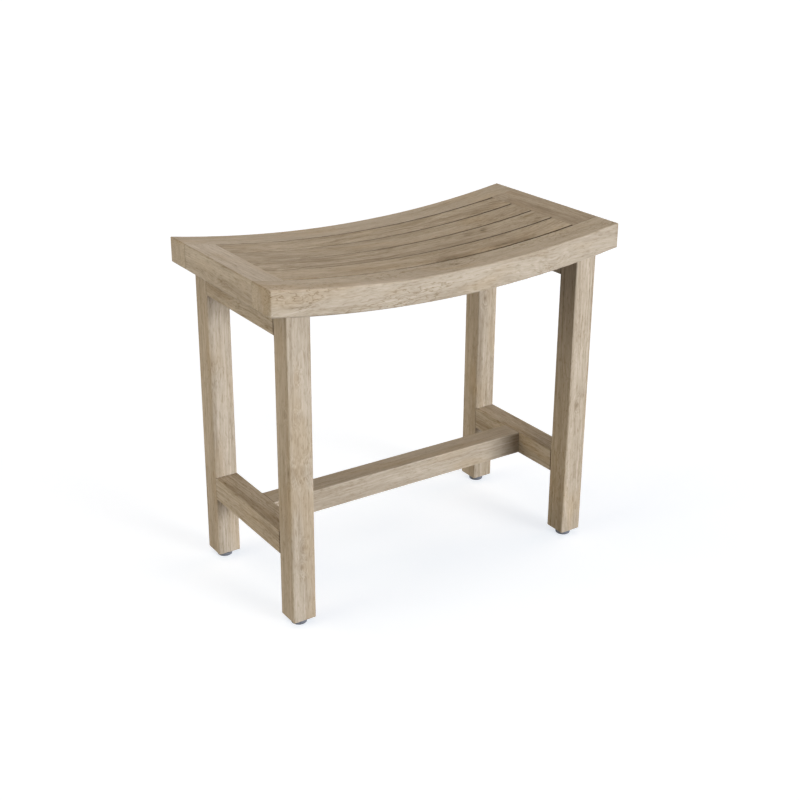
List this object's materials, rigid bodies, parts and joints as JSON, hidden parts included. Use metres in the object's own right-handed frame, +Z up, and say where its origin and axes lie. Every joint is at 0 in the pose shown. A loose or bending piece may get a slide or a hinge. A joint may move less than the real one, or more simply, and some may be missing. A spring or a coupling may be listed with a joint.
{
  "type": "shower bench",
  "caption": "Slatted saddle-seat shower bench in teak, on square legs with low stretchers joined in an H and levelling feet that screw in and out.",
  "frame": {"origin": "on the floor under the middle of the seat", "axes": "+X along the seat to the right, +Y to the back, +Z up; the front rail faces -Y"},
  "size_m": [0.61, 0.307, 0.5347],
  "materials": {
    "teak_frame": "bare teak with a weathered grey-brown finish, sanded, eased edges",
    "teak_end_rail": "bare teak with a weathered grey-brown finish, a little redder",
    "teak_slat": "bare teak with a weathered grey-brown finish, darker streaks and pin knots",
    "teak_leg": "bare teak with a weathered grey-brown finish, upright grain and pin knots",
    "teak_base": "bare teak with a weathered grey-brown finish",
    "stainless_steel": "plain stainless steel",
    "brass_insert": "turned brass",
    "zinc_steel": "bright zinc plating",
    "grey_nylon": "moulded nylon, dark blue-grey, matt"
  },
  "bodies": {
    "bench": {"front_rail": "teak_frame", "back_rail": "teak_frame", "left_end_rail": "teak_end_rail", "right_end_rail": "teak_end_rail", "front_slat": "teak_slat", "front_inner_slat": "teak_slat", "back_inner_slat": "teak_slat", "back_slat": "teak_slat", "slat_batten": "teak_slat", "batten_screws": "stainless_steel", "front_left_leg": "teak_leg", "front_right_leg": "teak_leg", "back_left_leg": "teak_leg", "back_right_leg": "teak_leg", "left_apron": "teak_base", "right_apron": "teak_base", "left_stretcher": "teak_base", "right_stretcher": "teak_base", "center_stretcher": "teak_base", "front_left_insert": "brass_insert", "front_right_insert": "brass_insert", "back_left_insert": "brass_insert", "back_right_insert": "brass_insert"},
    "front_left_foot": {"front_left_pad": "grey_nylon"},
    "front_left_screw": {"front_left_stud": "zinc_steel"},
    "front_right_foot": {"front_right_pad": "grey_nylon"},
    "front_right_screw": {"front_right_stud": "zinc_steel"},
    "back_left_foot": {"back_left_pad": "grey_nylon"},
    "back_left_screw": {"back_left_stud": "zinc_steel"},
    "back_right_foot": {"back_right_pad": "grey_nylon"},
    "back_right_screw": {"back_right_stud": "zinc_steel"}
  },
  "joints": [
    {"name": "front_left_travel", "type": "slide", "parent": "bench", "child": "front_left_foot", "axis": [0, 0, -1], "range_m": [0, 0.01]},
    {"name": "front_left_turn", "type": "hinge", "parent": "front_left_foot", "child": "front_left_screw", "pos_m": [-0.255, -0.1215, 0], "axis": [0, 0, -1], "range_deg": [0, 2880]},
    {"name": "front_right_travel", "type": "slide", "parent": "bench", "child": "front_right_foot", "axis": [0, 0, -1], "range_m": [0, 0.01]},
    {"name": "front_right_turn", "type": "hinge", "parent": "front_right_foot", "child": "front_right_screw", "pos_m": [0.255, -0.1215, 0], "axis": [0, 0, -1], "range_deg": [0, 2880]},
    {"name": "back_left_travel", "type": "slide", "parent": "bench", "child": "back_left_foot", "axis": [0, 0, -1], "range_m": [0, 0.01]},
    {"name": "back_left_turn", "type": "hinge", "parent": "back_left_foot", "child": "back_left_screw", "pos_m": [-0.255, 0.1215, 0], "axis": [0, 0, -1], "range_deg": [0, 2880]},
    {"name": "back_right_travel", "type": "slide", "parent": "bench", "child": "back_right_foot", "axis": [0, 0, -1], "range_m": [0, 0.01]},
    {"name": "back_right_turn", "type": "hinge", "parent": "back_right_foot", "child": "back_right_screw", "pos_m": [0.255, 0.1215, 0], "axis": [0, 0, -1], "range_deg": [0, 2880]}
  ],
  "couplings": [
    {"joint": "front_left_travel", "follows": "front_left_turn", "m_per_rad": 0.00019894},
    {"joint": "front_right_travel", "follows": "front_right_turn", "m_per_rad": 0.00019894},
    {"joint": "back_left_travel", "follows": "back_left_turn", "m_per_rad": 0.00019894},
    {"joint": "back_right_travel", "follows": "back_right_turn", "m_per_rad": 0.00019894}
  ]
}
